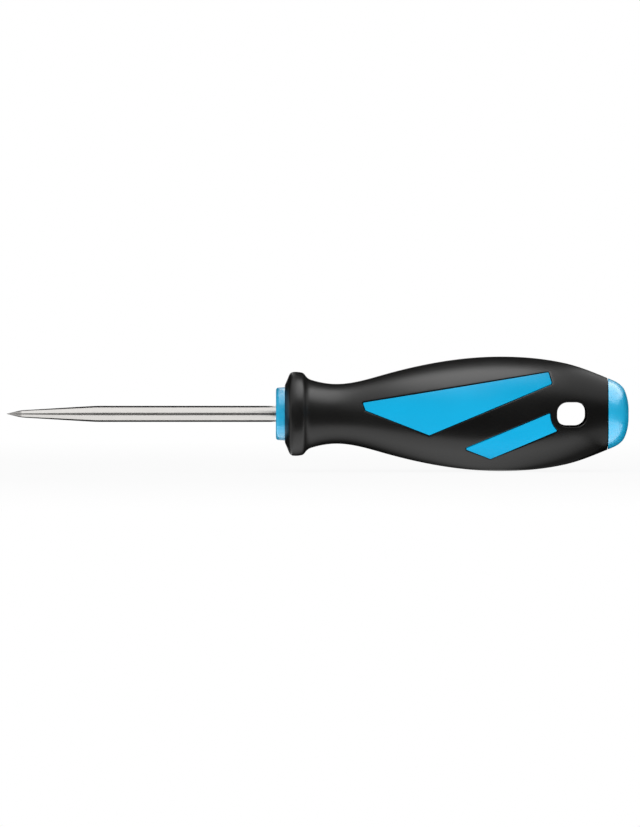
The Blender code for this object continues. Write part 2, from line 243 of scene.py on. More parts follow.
# Lights, in metres. A span is the start and end on X, and the front and back on Y.
KEY_PLACE = (0.0, -1.35, 0.22)
KEY_SIZE = 1.0
FILL_SPAN = ((-0.15, 0.25), (-0.35, -0.01))
SHEEN_SPAN = ((-0.002, 0.08), (-0.043, 0.012))
WIDE_SHEEN_SPAN = ((-0.004, 0.045), (-0.12, 0.0))
SHEEN_HEIGHT = 0.08
BOUNCE_SPAN = ((-0.0095, 0.086), (-0.0215, 0.002))
BOUNCE_FADE = (-0.008, 0.0015)
BOUNCE_SLANT = 0.09
GLOSS_TOP_SPAN = ((-0.03, 0.3), (-0.15, 0.12))
GLOSS_TOP_HEIGHT = 0.12
COLLAR_GLOSS_SPAN = ((-0.03, 0.01), (-0.016, 0.003))
BUTT_GLOSS_SPAN = ((0.06, 0.124), (-0.055, -0.002))

# Share of its level in the sidebar that each lamp has
SHEEN_SHARE = 0.65
WIDE_SHEEN_SHARE = 0.5
BOUNCE_FAR_SHARE = 0.05
COLLAR_GLOSS_SHARE = 0.65
BUTT_GLOSS_SHARE = 0.8

# Cards that reflections show, in metres
GRIP_START = -0.0095
GRIP_END = 0.086
HANDLE_START = -0.0125
BLADE_END = -0.0136
CARD_REACH = 0.4
CARD_LIFT = 0.0004
CARD_DISTANCE = 0.085
FRONT_CARD_TOP = 0.09
GRIP_CARD_DISTANCE = 0.032
GRIP_CARD_TOP = 0.14
BLADE_CARD_TOP = 0.024
BLADE_FLOOR_CARD_END = -0.05
BLADE_UNDER_CARD = (0.002, 0.02)
REAR_GAP = (-0.001, 0.009)
OUTLINE_CARD_TOP = 0.08
BUTT_CARD_START = 0.088
BUTT_CARD_DISTANCE = 0.1
BUTT_CARD_TOP = 0.06
TAIL_CARD_END = 0.0885
END_CARD_PLACE = 0.126
END_CARD_TOP = 0.026
COLLAR_CARD_REACH = 0.008
COLLAR_CARD_DISTANCE = 0.02

# How bright each kind of card looks
CARD_GREYS = {"black_card": 0.0, "grey_card": 0.12}


class AwlSizes(bpy.types.PropertyGroup):
    """Sizes of the finished pieces"""

    shank_diameter: FloatProperty(
        name="Shank", description="Diameter of the blade's round shank",
        default=4.8 * MM, unit="LENGTH", precision=5,
    )
    taper_length: FloatProperty(
        name="Taper", description="Length of the ground taper",
        default=22.1 * MM, unit="LENGTH", precision=5,
    )
    point_length: FloatProperty(
        name="Point", description="Length of the steep point",
        default=4.3 * MM, unit="LENGTH", precision=5,
    )
    point_diameter: FloatProperty(
        name="Point diameter", description="Diameter where the point meets the taper",
        default=2.15 * MM, unit="LENGTH", precision=5,
    )
    collar_diameter: FloatProperty(
        name="Collar", description="Diameter of the collar round the blade",
        default=15.9 * MM, unit="LENGTH", precision=5,
    )
    ring_diameter: FloatProperty(
        name="Guard ring", description="Diameter of the guard ring",
        default=24.9 * MM, unit="LENGTH", precision=5,
    )
    neck_diameter: FloatProperty(
        name="Neck", description="Diameter of the neck behind the ring",
        default=17.74 * MM, unit="LENGTH", precision=5,
    )
    belly_diameter: FloatProperty(
        name="Belly", description="Largest diameter of the handle",
        default=34.0 * MM, unit="LENGTH", precision=5,
    )
    seam: FloatProperty(
        name="Seam", description="Gap between neighbouring pieces",
        default=0.2 * MM, unit="LENGTH", precision=5,
    )
    grip_edge: FloatProperty(
        name="Grip edge", description="Radius on the grip's edges at its seams",
        default=0.34 * MM, unit="LENGTH", precision=5,
    )
    inlay_edge: FloatProperty(
        name="Inlay edge", description="Radius on the edges of the inlays",
        default=0.12 * MM, unit="LENGTH", precision=5,
    )
    hole_rim: FloatProperty(
        name="Hole rim", description="Radius on the rim of the hanging hole",
        default=0.6 * MM, unit="LENGTH", precision=5,
    )
    sides: IntProperty(
        name="Sides", description="Facets round the grip and the butt", default=144, min=24, max=256
    )


class AwlFinish(bpy.types.PropertyGroup):
    """Colours and surfaces of the finished pieces"""

    grip_colour: FloatVectorProperty(
        name="Grip", description="Colour of the soft grip",
        subtype="COLOR", size=3, default=(0.0048, 0.0046, 0.0043),
    )
    panel_colour: FloatVectorProperty(
        name="Inlays", description="Colour of the inlay panels",
        subtype="COLOR", size=3, default=(0.001, 0.375, 0.665),
    )
    hard_colour: FloatVectorProperty(
        name="Collar and butt", description="Colour of the hard plastic",
        subtype="COLOR", size=3, default=(0.001, 0.355, 0.605),
    )
    steel_colour: FloatVectorProperty(
        name="Steel", description="Colour of the blade",
        subtype="COLOR", size=3, default=(0.77, 0.75, 0.725),
    )
    grip_grain: FloatProperty(
        name="Grip grain", description="Size of the grip's moulded grain",
        default=0.2 * MM, unit="LENGTH", precision=5,
    )
    grip_grain_depth: FloatProperty(
        name="Grain depth", description="Depth of the grip's grain",
        default=0.012 * MM, unit="LENGTH", precision=6,
    )


class AwlStage(bpy.types.PropertyGroup):
    """Camera and lights"""

    distance: FloatProperty(
        name="Camera distance", description="From the camera to the tool's axis",
        default=4.0, unit="LENGTH",
    )
    elevation: FloatProperty(
        name="Elevation", description="Camera above the horizon",
        default=math.radians(0.9), subtype="ANGLE",
    )
    lens: FloatProperty(name="Lens", description="Focal length in millimetres", default=586.1)
    camera_x: FloatProperty(
        name="Camera place", description="Camera along the tool",
        default=0.59 * MM, unit="LENGTH", precision=5,
    )
    sky_level: FloatProperty(
        name="Sky", description="Level of the even light from all round", default=0.68
    )
    key_level: FloatProperty(
        name="Key", description="Level of the soft light behind the camera", default=0.38
    )
    fill_level: FloatProperty(
        name="Fill", description="Level of the light from the table in front", default=0.62
    )
    sheen_level: FloatProperty(
        name="Sheen", description="Brightness of the strip reflected from above", default=5.9
    )
    bounce_level: FloatProperty(
        name="Bounce", description="Brightness of the strip reflected from below", default=1.7
    )
    gloss_level: FloatProperty(
        name="Gloss", description="Brightness that the hard plastic reflects", default=6.6
    )


def smooth_run(start, start_slope, end, end_slope, steps):
    """Points of an outline after start, up to end, that has these slopes at its two ends."""
    third = (end[0] - start[0]) / 3
    leave = (start[0] + third, start[1] + third * start_slope)
    arrive = (end[0] - third, end[1] - third * end_slope)
    return curved_run(start, leave, arrive, end, steps)


def curved_run(start, leave, arrive, end, steps):
    """Points after start, up to end, on the Bezier curve with these two handles."""
    curve = interpolate_bezier(*map(Vector, (start, leave, arrive, end)), steps + 1)
    return [(point.x, point.y) for point in curve[1:]]


def straight_run(start, end, steps):
    """Points after start, up to end, on a straight line."""
    return [tuple(Vector(start).lerp(Vector(end), step / steps)) for step in range(1, steps + 1)]


def rounded_step(start, corner, end, steps):
    """Points after start, up to end, on a curve that rounds off the corner between them."""
    leave, arrive = (Vector(side).lerp(Vector(corner), STEP_BEND) for side in (start, end))
    return curved_run(start, leave, arrive, end, steps)


def softened(outline, corner, reach, steps):
    """An outline whose corner is rounded off over this reach on both sides."""
    distances = [(Vector(point) - Vector(corner)).length for point in outline]
    first = last = distances.index(min(distances))
    while first > 0 and distances[first] < reach:
        first -= 1
    while last < len(outline) - 1 and distances[last] < reach:
        last += 1
    curve = rounded_step(outline[first], corner, outline[last], steps)
    return outline[: first + 1] + curve + outline[last + 1 :]


def arc(centre, radius, start, end, steps):
    angles = [start + (end - start) * step / steps for step in range(steps + 1)]
    return [(centre[0] + radius * math.cos(a), centre[1] + radius * math.sin(a)) for a in angles]


def rounded_corner(before, corner, after, radius, steps=CORNER_STEPS):
    """The arc that rounds off a corner of an anticlockwise outline."""
    before, corner, after = map(Vector, (before, corner, after))
    back = (before - corner).normalized()
    ahead = (after - corner).normalized()
    half = back.angle(ahead) / 2
    centre = corner + (back + ahead).normalized() * (radius / math.sin(half))
    touch = corner + back * (radius / math.tan(half)) - centre
    start = math.atan2(touch.y, touch.x)
    return arc(centre, radius, start, start + math.pi - 2 * half, steps)


def line_cross(first, second):
    """Where two lines cross, each given as a point on it and its direction."""
    (start, way), (other_start, other_way) = first, second
    return start + way * ((other_start - start).cross(other_way) / way.cross(other_way))


def circle_cross(line, centre, radius):
    """Where a line, given as a point on it and its unit direction, first meets a circle."""
    start, way = line
    middle = (centre - start).dot(way)
    miss = (start + way * middle - centre).length
    return start + way * (middle - math.sqrt(radius**2 - miss**2))


def evenly(loop, step):
    """A closed outline with extra points on its long straight sides."""
    result = []
    for start, end in zip(loop, loop[1:] + loop[:1]):
        start, end = Vector(start), Vector(end)
        pieces = max(1, round((end - start).length / step))
        result += [tuple(start.lerp(end, piece / pieces)) for piece in range(pieces)]
    return result


def ring_front_outline(sizes):
    """The guard ring's outside, from its lip to the end of its crown."""
    lip = (GRIP_FRONT, sizes.collar_diameter / MM / 2 + sizes.seam / MM + sizes.grip_edge / MM)
    face_end = (GRIP_FRONT + FACE_LENGTH, FACE_DIAMETER / 2)
    crown_start = (face_end[0] + CORNER_LENGTH, sizes.ring_diameter / MM / 2)
    crown_end = (crown_start[0] + CROWN_LENGTH, CROWN_END_DIAMETER / 2)
    face_slope = (face_end[1] - lip[1]) / FACE_LENGTH
    corner = (face_end[0] + (crown_start[1] - face_end[1]) / face_slope, crown_start[1])
    face_steps, corner_steps, crown_steps = RING_STEPS
    return [
        lip,
        *straight_run(lip, face_end, face_steps),
        *rounded_step(face_end, corner, crown_start, corner_steps),
        *smooth_run(crown_start, CROWN_START_SLOPE, crown_end, CROWN_END_SLOPE, crown_steps),
    ]


def grip_outline(sizes):
    """The grip's outside as (along, radius) points, from its lip to its rear edge."""
    outline = ring_front_outline(sizes)
    crown_end = outline[-1]
    flank_end = (crown_end[0] + FLANK_LENGTH, FLANK_DIAMETER / 2)
    neck = (flank_end[0] + NECK_LENGTH, sizes.neck_diameter / MM / 2)
    swell = (neck[0] + SWELL_LENGTH, SWELL_DIAMETER / 2)
    belly = (swell[0] + FRONT_BELLY_LENGTH, sizes.belly_diameter / MM / 2)
    tail = (belly[0] + REAR_BELLY_LENGTH, TAIL_DIAMETER / 2)
    rear = (GRIP_REAR, REAR_DIAMETER / 2)
    meetings = [
        (crown_end, FLANK_START_SLOPE),
        (flank_end, FLANK_END_SLOPE),
        (neck, 0.0),
        (swell, SWELL_SLOPE),
        (belly, 0.0),
        (tail, TAIL_SLOPE),
        (rear, REAR_SLOPE),
    ]
    for start, end, steps in zip(meetings, meetings[1:], HANDLE_STEPS):
        outline += smooth_run(*start, *end, steps)
    return softened(outline, crown_end, CROWN_EDGE, CROWN_EDGE_STEPS)


def around(along, radius, turn):
    """A point at this place along the axis, radius and turn."""
    return Vector((along, -radius * math.cos(turn), radius * math.sin(turn)))


class Skin:
    """The grip's outer surface: a turned outline with a place on it given by its run and its turn.

    The run is the distance along the outline, and the turn is the angle round the axis, 0 at the
    near side (-Y) and a quarter turn at the top.
    """

    def __init__(self, outline):
        self.along = np.array([point[0] for point in outline])
        self.radius = np.array([point[1] for point in outline])
        steps = np.hypot(np.diff(self.along), np.diff(self.radius))
        self.runs = np.concatenate([[0.0], np.cumsum(steps)])
        middles = (self.runs[1:] + self.runs[:-1]) / 2
        tilts = np.arctan2(np.diff(self.radius), np.diff(self.along))
        self.tilts = np.interp(self.runs, middles, tilts)

    def run_at(self, along):
        return float(np.interp(along, self.along, self.runs))

    def radius_at(self, along):
        return float(np.interp(along, self.along, self.radius))

    def at_run(self, run, values):
        """One of the outline's values at this run, from their row."""
        return float(np.interp(run, self.runs, values))

    def place(self, along, height, radius=None):
        """The run and turn of a point this high on the near side, at the surface or a radius."""
        return self.run_at(along), math.asin(height / (radius or self.radius_at(along)))

    def point(self, run, turn, depth=0.0):
        """A point this deep under the surface, in millimetres."""
        tilt = self.at_run(run, self.tilts)
        along = self.at_run(run, self.along) + depth * math.sin(tilt)
        radius = self.at_run(run, self.radius) - depth * math.cos(tilt)
        return around(along, radius, turn)

    def normal(self, run, turn):
        tilt = self.at_run(run, self.tilts)
        return around(-math.sin(tilt), math.cos(tilt), turn)

    def shifted(self, loop, distance):
        """A closed loop of (run, turn) places moved over the surface, out of what it goes round."""
        points = [self.point(*place) for place in loop]
        befores, afters = points[-1:] + points, points[1:] + points[:1]
        result = []
        for before, point, after, place in zip(befores, points, afters, loop):
            ahead = (after - point).normalized()
            middle = (ahead + (point - before).normalized()).normalized()
            side = middle.cross(self.normal(*place)).normalized()
            moved = point + side * (distance / middle.dot(ahead))
            turn = math.atan2(moved.z, -moved.y)
            turn += math.tau * round((place[1] - turn) / math.tau)
            result.append((self.run_at(moved.x), turn))
        return result


def inner_radius(skin, sizes, along):
    """The grip's inner radius: the collar's bore in front, and one wall under the skin behind."""
    if along < GRIP_FRONT + BED_STEP:
        return sizes.collar_diameter / MM / 2 + sizes.seam / MM
    return skin.radius_at(along) - GRIP_WALL


class Shell:
    """A mesh under construction, from points in millimetres."""

    def __init__(self):
        self.points = []
        self.faces = []

    def add(self, points):
        start = len(self.points)
        self.points += points
        return list(range(start, len(self.points)))

    def strip(self, *rows, closed=True):
        """Quads between each row of vertices and the next, with as many in each."""
        count = len(rows[0])
        for first, second in zip(rows, rows[1:]):
            for index in range(count if closed else count - 1):
                after = (index + 1) % count
                self.faces.append((first[index], first[after], second[after], second[index]))

    def object(self, name, material):
        mesh = bpy.data.meshes.new(name)
        places = [(x * MM + COLLAR_FACE_X, y * MM, z * MM) for x, y, z in self.points]
        mesh.from_pydata(places, [], self.faces)
        mesh.materials.append(material)
        return finished(name, mesh)


def new_object(name, data):
    """An object with this data, at the origin of the scene."""
    obj = bpy.data.objects.new(name, data)
    bpy.context.scene.collection.objects.link(obj)
    return obj


def finished(name, mesh):
    """A new object, welded, its faces pointing out, and smooth but for its sharp edges."""
    shape = bmesh.new()
    shape.from_mesh(mesh)
    bmesh.ops.remove_doubles(shape, verts=shape.verts, dist=WELD)
    bmesh.ops.recalc_face_normals(shape, faces=shape.faces)
    if shape.calc_volume(signed=True) < 0:
        bmesh.ops.reverse_faces(shape, faces=shape.faces)
    shape.to_mesh(mesh)
    shape.free()
    mesh.shade_smooth()
    mesh.set_sharp_from_angle(angle=SMOOTH_ANGLE)
    return new_object(name, mesh)


def stand_in(piece, node):
    """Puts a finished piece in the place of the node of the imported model."""
    require_closed(piece)
    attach(piece, BODY)
    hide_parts(node)


def require_closed(piece):
    shape = bmesh.new()
    shape.from_mesh(piece.data)
    open_edges = sum(not edge.is_manifold for edge in shape.edges)
    volume = shape.calc_volume(signed=True)
    shape.free()
    if open_edges or volume <= 0:
        raise RuntimeError(f"{piece.name} isn't closed: {open_edges} open edges, volume {volume}")


def inside(loop, places):
    """Which of the places lie inside a closed loop, both as (x, y) rows."""
    x, y = places[:, 0], places[:, 1]
    result = np.zeros(len(places), dtype=bool)
    for (x0, y0), (x1, y1) in zip(loop, np.roll(loop, -1, axis=0)):
        spans = (y0 > y) != (y1 > y)
        if spans.any():
            result ^= spans & (x < (x1 - x0) * (y - y0) / (y1 - y0) + x0)
    return result


def clear_of(loops, places, distance):
    """Which of the places keep this distance from every point of the loops."""
    tree = kdtree.KDTree(sum(map(len, loops)))
    for index, (x, y) in enumerate(point for loop in loops for point in loop):
        tree.insert((x, y, 0.0), index)
    tree.balance()
    return np.array([tree.find((x, y, 0.0))[2] > distance for x, y in places])


def covered(shell, grid, loops, rows, point_at, spread, within=False):
    """Covers the surface between the loops, or within the only one, and gives the grid's vertices.

    The grid and the loops are (run, turn) places, and the rows hold the loops' vertices. The places
    are laid out flat, with a radian counting as this spread, to find which of them to join.
    """

    def flat(places):
        return np.array([(run, turn * spread) for run, turn in places])

    flat_loops = [flat(loop) for loop in loops]
    places = flat(grid)
    keep = clear_of(flat_loops, places, SKIN_CLEARANCE)
    for loop in flat_loops:
        keep &= inside(loop, places) == within
    kept = [place for place, good in zip(grid, keep) if good]
    vertices = shell.add([point_at(*place) for place in kept])

    points = [Vector(place) for place in flat(kept)]
    edges = []
    for loop in flat_loops:
        start = len(points)
        points += [Vector(place) for place in loop]
        edges += [(start + i, start + (i + 1) % len(loop)) for i in range(len(loop))]
    corners, _, faces, origins, _, _ = delaunay_2d_cdt(points, edges, [], 0, FLAT_WELD)
    if len(corners) != len(points):
        raise RuntimeError("two points of a surface fell together")
    faces = np.array([face for face in faces if len(face) == 3])
    middles = np.array(corners)[faces].mean(axis=1)
    good = np.ones(len(faces), dtype=bool)
    for loop in flat_loops:
        good &= inside(loop, middles) == within
    known = vertices + [vertex for row in rows for vertex in row]
    shell.faces += [tuple(known[origins[v][0]] for v in face) for face in faces[good]]
    return dict(zip(kept, vertices))


def panel_outlines(sizes):
    """The upper and the lower panel as (along, height) outlines, seen from the near side."""
    belly = sizes.belly_diameter / MM / 2
    ring_end = GRIP_FRONT + FACE_LENGTH + CORNER_LENGTH + CROWN_LENGTH
    neck_at = ring_end + FLANK_LENGTH + NECK_LENGTH
    hole = Vector((hole_centre(), 0.0))
    level = Vector((1.0, 0.0))
    slant = Vector((math.cos(BAND_ANGLE), math.sin(BAND_ANGLE)))
    across = Vector((-slant.y, slant.x))
    band_top = (hole + across * (BAND_ABOVE_HOLE + BAND_WIDTH / 2), slant)
    band_bottom = (hole + across * (BAND_ABOVE_HOLE - BAND_WIDTH / 2), slant)
    lower_rear_edge = (band_bottom[0] - across * LOWER_PANEL_WIDTH, slant)
    end_way = Vector((-math.sin(PANEL_END_TILT), math.cos(PANEL_END_TILT)))
    rear_end = (hole - slant * PANEL_END_BEFORE_HOLE, end_way)
    ceiling = (Vector((0.0, belly - TOP_EDGE_TO_BELLY)), level)
    floor = (Vector((0.0, BOTTOM_EDGE_TO_BELLY - belly)), level)

    nose = neck_at + NOSE_BEHIND_NECK
    nose_top = Vector((nose, NOSE_TOP))
    nose_bottom = Vector((nose + NOSE_RAKE, NOSE_BOTTOM))
    bottom_corner = line_cross(floor, lower_rear_edge)
    bottom_edge = (nose_bottom, bottom_corner - nose_bottom)
    upper = [
        nose_bottom,
        line_cross(bottom_edge, band_top),
        line_cross(rear_end, band_top),
        line_cross(ceiling, rear_end),
        nose_top,
    ]

    bend = HOLE_LENGTH / 2 + PANEL_HOLE_WALL
    bend_start = circle_cross(lower_rear_edge, hole, bend)
    bend_end = circle_cross(band_bottom, hole, bend)
    start, end = (math.atan2(p.y, p.x) % math.tau for p in (bend_start - hole, bend_end - hole))
    around_hole = arc(hole, bend, start, end, PANEL_BEND_STEPS)
    lower = [line_cross(bottom_edge, band_bottom), bottom_corner, *around_hole]
    return [rounded_outline(*panel) for panel in zip((upper, lower), PANEL_CORNERS)]


def rounded_outline(corners, radius):
    """An anticlockwise outline with its corners rounded off, but for the slight ones of an arc."""
    result = []
    corners = [Vector(corner) for corner in corners]
    for before, corner, after in zip(corners[-1:] + corners, corners, corners[1:] + corners[:1]):
        if (corner - before).angle(after - corner) < SMOOTH_ANGLE:
            result.append(tuple(corner))
        else:
            result += rounded_corner(before, corner, after, radius)
    return evenly(result, EDGE_STEP)


def hole_centre():
    return GRIP_REAR - HOLE_REAR_WALL - HOLE_LENGTH / 2


def hole_outline(growth):
    """The hanging hole's rounded rectangle as (along, height) points, from its rear middle on."""
    centre = (HOLE_LENGTH / 2 - HOLE_CORNER, HOLE_HEIGHT / 2 - HOLE_CORNER)
    quarter = [
        (HOLE_LENGTH / 2 + growth, 0.0),
        *arc(centre, HOLE_CORNER + growth, 0.0, math.pi / 2, HOLE_CORNER_STEPS),
        (0.0, HOLE_HEIGHT / 2 + growth),
    ]
    half = quarter + [(-x, y) for x, y in quarter[-2::-1]]
    whole = half + [(x, -y) for x, y in half[-2:0:-1]]
    return [(x + hole_centre(), y) for x, y in whole]


def rounding(radius, start=0.0):
    """An edge's quarter round as (distance from the wall, depth) pairs, from wall to surface."""
    turns = [math.pi / 2 * step / ROUND_STEPS for step in range(ROUND_STEPS + 1)]
    return [(start + radius * (1 - math.cos(a)), radius * (1 - math.sin(a))) for a in turns]


def half_turned(loop):
    """The same loop on the far side, after half a turn of the handle."""
    return [(run, turn + math.pi) for run, turn in loop]


def edge_rings(shell, skin, loop, profile):
    """The rows of vertices that round off an edge along a loop, and the last one's places."""
    rows = []
    for distance, depth in profile:
        places = skin.shifted(loop, distance)
        rows.append(shell.add([skin.point(*place, depth) for place in places]))
    shell.strip(*rows)
    return rows, places


def make_grip(sizes, material):
    """The soft grip: its skin with four windows and the hanging hole, its bore and the sleeve."""
    skin = Skin(grip_outline(sizes))
    shell = Shell()
    spread = sizes.belly_diameter / MM / SPREAD
    bore_point = partial(inner_point, skin, sizes)

    windows = []
    for outline in panel_outlines(sizes):
        near = [skin.place(*point) for point in outline]
        windows += [near, half_turned(near)]
    hole = [skin.place(*point) for point in hole_outline(0.0)]
    lining = [
        skin.place(along, height, inner_radius(skin, sizes, along))
        for along, height in hole_outline(HOLE_LINING)
    ]
    holes = [hole, half_turned(hole)]
    linings = [lining, half_turned(lining)]

    window_edge = rounding(sizes.grip_edge / MM, sizes.seam / MM / 2)
    hole_edge = rounding(sizes.hole_rim / MM)
    edges = [edge_rings(shell, skin, loop, window_edge) for loop in windows]
    edges += [edge_rings(shell, skin, loop, hole_edge) for loop in holes]
    floors = [skin.shifted(loop, window_edge[0][0]) for loop in windows] + linings
    floor_rows = [shell.add([bore_point(*place) for place in loop]) for loop in floors]

    turns = [math.tau * column / sizes.sides - math.pi / 2 for column in range(sizes.sides + 1)]
    grid = [(float(run), turn) for run in skin.runs for turn in turns]
    rims = [loop for rows, loop in edges]
    rim_rows = [rows[-1] for rows, loop in edges]
    outside = covered(shell, grid, rims, rim_rows, skin.point, spread)
    within = covered(shell, grid, floors, floor_rows, bore_point, spread)

    # A window's wall goes straight in, and the hole's lining goes straight across from side to side
    for (rows, loop), floor_row in zip(edges[: len(windows)], floor_rows):
        shell.strip(rows[0], floor_row)
    for near, far in ((edges[-2][0][0], edges[-1][0][0]), (floor_rows[-2], floor_rows[-1])):
        shell.strip(near, [far[-index % len(far)] for index in range(len(near))])

    # The rounded lip goes in to the collar, and the rear edge to the core
    lip_bore = inner_radius(skin, sizes, GRIP_FRONT)
    lip_edge = rounding(sizes.grip_edge / MM)
    lip = [(GRIP_FRONT + depth, lip_bore + distance) for distance, depth in lip_edge]
    for run, profile in ((float(skin.runs[0]), lip[-2::-1]), (float(skin.runs[-1]), [])):
        rows = [[outside[run, turn] for turn in turns]]
        for along, radius in profile:
            rows.append(shell.add([around(along, radius, turn) for turn in turns]))
        rows.append([within[run, turn] for turn in turns])
        shell.strip(*rows, closed=False)
    return shell.object("grip", material)


def inner_point(skin, sizes, run, turn):
    """The point of the grip's bore under a place of its surface."""
    along = max(skin.at_run(run, skin.along), GRIP_FRONT + sizes.grip_edge / MM)
    return around(along, inner_radius(skin, sizes, along), turn)


def make_inlay(name, skin, sizes, loop, material):
    """One inlay panel: its face follows the grip's surface, and its sides go into its window."""
    shell = Shell()
    spread = sizes.belly_diameter / MM / SPREAD
    bed_point = partial(inner_point, skin, sizes)
    edge = rounding(sizes.inlay_edge / MM, sizes.seam / MM / 2)
    profile = [(-distance, depth) for distance, depth in edge]
    rows, border = edge_rings(shell, skin, loop, profile)
    foot = skin.shifted(loop, profile[0][0])
    foot_row = shell.add([bed_point(*place) for place in foot])
    shell.strip(rows[0], foot_row)
    runs, turns = zip(*border)
    grid = [
        (float(run), float(turn))
        for run in np.arange(min(runs), max(runs), SKIN_STEP)
        for turn in np.arange(min(turns), max(turns), SKIN_STEP / spread)
    ]
    covered(shell, grid, [border], [rows[-1]], skin.point, spread, within=True)
    covered(shell, grid, [foot], [foot_row], bed_point, spread, within=True)
    return shell.object(name, material)


class Nodes:
    """Adds nodes to a tree and links them."""

    def __init__(self, tree):
        self.tree = tree

    def add(self, kind, inputs=None, **settings):
        """A node with these settings. An input is a value, or another node's output."""
        node = self.tree.nodes.new(kind)
        for name, value in settings.items():
            setattr(node, name, value)
        for name, value in (inputs or {}).items():
            if isinstance(value, bpy.types.NodeSocket):
                self.tree.links.new(value, node.inputs[name])
            else:
                node.inputs[name].default_value = value
        return node

    def math(self, operation, first, second=0.0, third=0.0):
        node = self.add("ShaderNodeMath", {0: first, 1: second, 2: third}, operation=operation)
        return node.outputs[0]


def turning_tree():
    """The Geometry Nodes that turn an outline round the X axis.

    The outline is a mesh of points in order, each with its place along X and its radius as Z.
    """
    tree = bpy.data.node_groups.new("Turned from an outline", "GeometryNodeTree")
    for name, kind, default in (
        ("Geometry", "Geometry", None),
        ("Sides", "Int", BLADE_SIDES),
        ("Weld", "Float", WELD),
        ("Material", "Material", None),
    ):
        socket = tree.interface.new_socket(name, in_out="INPUT", socket_type=f"NodeSocket{kind}")
        if default is not None:
            socket.default_value = default
    tree.interface.new_socket("Geometry", in_out="OUTPUT", socket_type="NodeSocketGeometry")

    nodes = Nodes(tree)
    given = nodes.add("NodeGroupInput").outputs
    outline = nodes.add(
        "GeometryNodeAttributeDomainSize", {0: given["Geometry"]}, component="MESH"
    )
    count = outline.outputs["Point Count"]
    width = nodes.math("ADD", given["Sides"], 1.0)
    grid = nodes.add("GeometryNodeMeshGrid", {"Vertices X": count, "Vertices Y": width})
    index = nodes.add("GeometryNodeInputIndex").outputs[0]
    middle = nodes.math("ADD", index, 0.5)
    row = nodes.math("FLOOR", nodes.math("DIVIDE", middle, width))
    column = nodes.math("FLOOR", nodes.math("MODULO", middle, width))
    sample = nodes.add(
        "GeometryNodeSampleIndex",
        {
            "Geometry": given["Geometry"],
            "Value": nodes.add("GeometryNodeInputPosition").outputs[0],
            "Index": row,
        },
        data_type="FLOAT_VECTOR",
    )
    parts = nodes.add("ShaderNodeSeparateXYZ", {0: sample.outputs[0]}).outputs
    turn = nodes.math("MULTIPLY", nodes.math("DIVIDE", column, given["Sides"]), math.tau)
    place = nodes.add(
        "ShaderNodeCombineXYZ",
        {
            "X": parts["X"],
            "Y": nodes.math("MULTIPLY", parts["Z"], nodes.math("SINE", turn)),
            "Z": nodes.math("MULTIPLY", parts["Z"], nodes.math("COSINE", turn)),
        },
    )
    mesh = grid.outputs["Mesh"]
    for kind, inputs in (
        ("GeometryNodeSetPosition", {"Position": place.outputs[0]}),
        ("GeometryNodeMergeByDistance", {"Distance": given["Weld"]}),
        ("GeometryNodeRealizeInstances", {}),
        ("GeometryNodeSetMaterial", {"Material": given["Material"]}),
    ):
        mesh = nodes.add(kind, {"Geometry": mesh, **inputs}).outputs[0]
    result = nodes.add("NodeGroupOutput")
    tree.links.new(mesh, result.inputs[0])
    return tree


def turned(name, outline, sides, material):
    """A piece turned from an outline of (along, radius) points that starts and ends on the axis."""
    mesh = bpy.data.meshes.new(name)
    points = [(along * MM + COLLAR_FACE_X, 0.0, radius * MM) for along, radius in outline]
    mesh.from_pydata(points, [(i, i + 1) for i in range(len(points) - 1)], [])
    obj = new_object(name, mesh)
    tree = bpy.data.node_groups.get("Turned from an outline") or turning_tree()
    modifier = obj.modifiers.new("turned", "NODES")
    modifier.node_group = tree
    inputs = [item for item in tree.interface.items_tree if item.in_out == "INPUT"]
    sockets = {item.name: item.identifier for item in inputs}
    modifier[sockets["Sides"]] = sides
    modifier[sockets["Weld"]] = WELD
    modifier[sockets["Material"]] = material
    return made_plain(obj)


def made_plain(obj):
    """The finished object, with its modifiers applied to its mesh."""
    bpy.context.view_layer.update()
    evaluated = obj.evaluated_get(bpy.context.evaluated_depsgraph_get())
    result = bpy.data.meshes.new_from_object(evaluated)
    name = obj.name
    bpy.data.objects.remove(obj)
    return finished(name, result)


def cut(obj, cutter):
    """The object with the cutter's shape taken out, and the cutter deleted."""
    modifier = obj.modifiers.new("cut", "BOOLEAN")
    modifier.object = cutter
    modifier.operation = "DIFFERENCE"
    modifier.solver = "EXACT"
    made = made_plain(obj)
    bpy.data.objects.remove(cutter)
    return made


def prism(name, outline, start, end):
    """A block with this (along, height) outline between two places on Y."""
    shell = Shell()
    near = shell.add([(along, start, height) for along, height in outline])
    far = shell.add([(along, end, height) for along, height in outline])
    shell.strip(near, far)
    shell.faces += [near[::-1], far]
    return shell.object(name, None)


def make_blade(sizes, material):
    """The blade with its point, taper, shank and the tang inside the handle."""
    shank = sizes.shank_diameter / MM / 2
    shoulder = sizes.point_diameter / MM / 2
    tip = -BLADE_LENGTH
    point_end = tip + sizes.point_length / MM
    taper_end = point_end + sizes.taper_length / MM
    nose = [(tip + TIP_RADIUS * (1 - math.cos(a)), TIP_RADIUS * math.sin(a)) for a in TIP_TURNS]
    point_steps, taper_steps, shank_steps = BLADE_STEPS
    outline = [
        *nose,
        *straight_run(nose[-1], (point_end, shoulder), point_steps),
        *straight_run((point_end, shoulder), (taper_end, shank), taper_steps),
        *straight_run((taper_end, shank), (SHANK_FINE_END, shank), shank_steps),
        (TANG_LENGTH - TANG_BEVEL, shank),
        (TANG_LENGTH, shank - TANG_BEVEL),
        (TANG_LENGTH, 0.0),
    ]
    outline = softened(outline, (point_end, shoulder), POINT_SOFTENING, SMALL_STEPS)
    outline = softened(outline, (taper_end, shank), TAPER_SOFTENING, SMALL_STEPS)
    return turned("blade_steel", outline, BLADE_SIDES, material)


